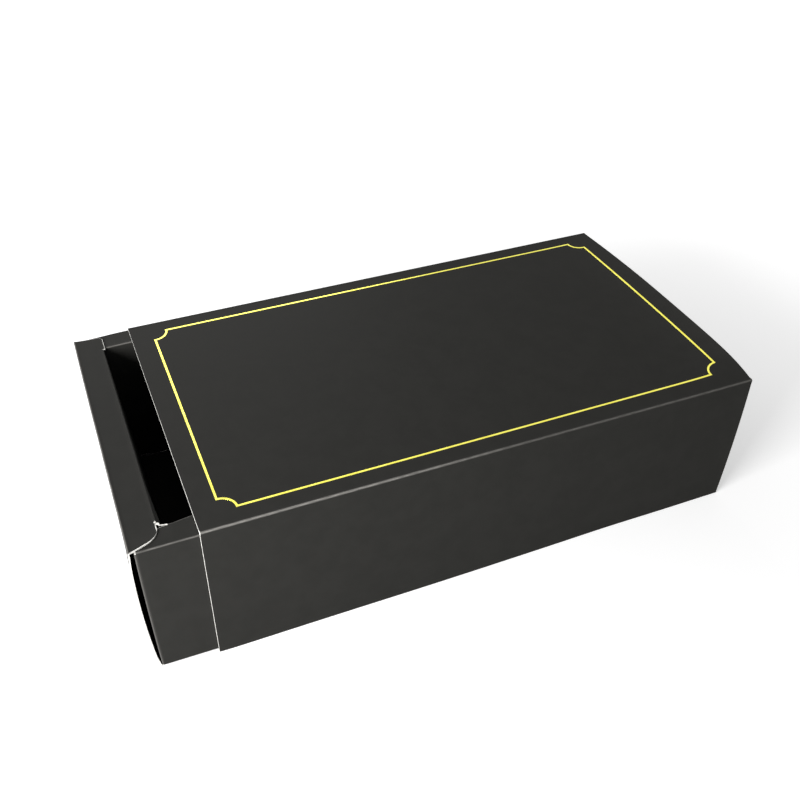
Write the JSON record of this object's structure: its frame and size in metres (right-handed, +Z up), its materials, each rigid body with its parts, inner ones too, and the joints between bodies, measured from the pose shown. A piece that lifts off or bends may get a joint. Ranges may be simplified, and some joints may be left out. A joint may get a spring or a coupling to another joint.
{
  "type": "sliding drawer gift box",
  "caption": "Black paperboard gift box: a hollow-walled drawer tray that slides in an open-ended sleeve, with a plain gold frame line with scooped corners on top.",
  "frame": {"origin": "centre of the flat face that the sleeve stands on", "axes": "+Z up, -Y the way the drawer opens, +X to the right seen from above with the drawer's end at the bottom"},
  "size_m": [0.1222, 0.2317, 0.0632],
  "materials": {
    "black_board": "matte",
    "gold_foil": "satin"
  },
  "bodies": {
    "sleeve": {"sleeve_bottom_panel": "black_board", "sleeve_right_panel": "black_board", "sleeve_top_panel": "black_board", "sleeve_left_panel": "black_board", "sleeve_glue_flap": "black_board", "foil_frame_line": "gold_foil"},
    "drawer": {"drawer_base": "black_board", "drawer_right_outer_wall": "black_board", "drawer_left_outer_wall": "black_board", "drawer_right_rim": "black_board", "drawer_left_rim": "black_board", "drawer_right_inner_wall": "black_board", "drawer_left_inner_wall": "black_board", "drawer_back_outer_wall": "black_board", "drawer_front_outer_wall": "black_board", "drawer_back_rim": "black_board", "drawer_front_rim": "black_board", "drawer_back_inner_wall": "black_board", "drawer_front_inner_wall": "black_board", "drawer_back_right_corner_flap": "black_board", "drawer_back_left_corner_flap": "black_board", "drawer_front_right_corner_flap": "black_board", "drawer_front_left_corner_flap": "black_board"}
  },
  "joints": [
    {"name": "drawer_slide", "type": "slide", "parent": "sleeve", "child": "drawer", "axis": [0, -1, 0], "range_m": [-0.021, 0.192]}
  ]
}
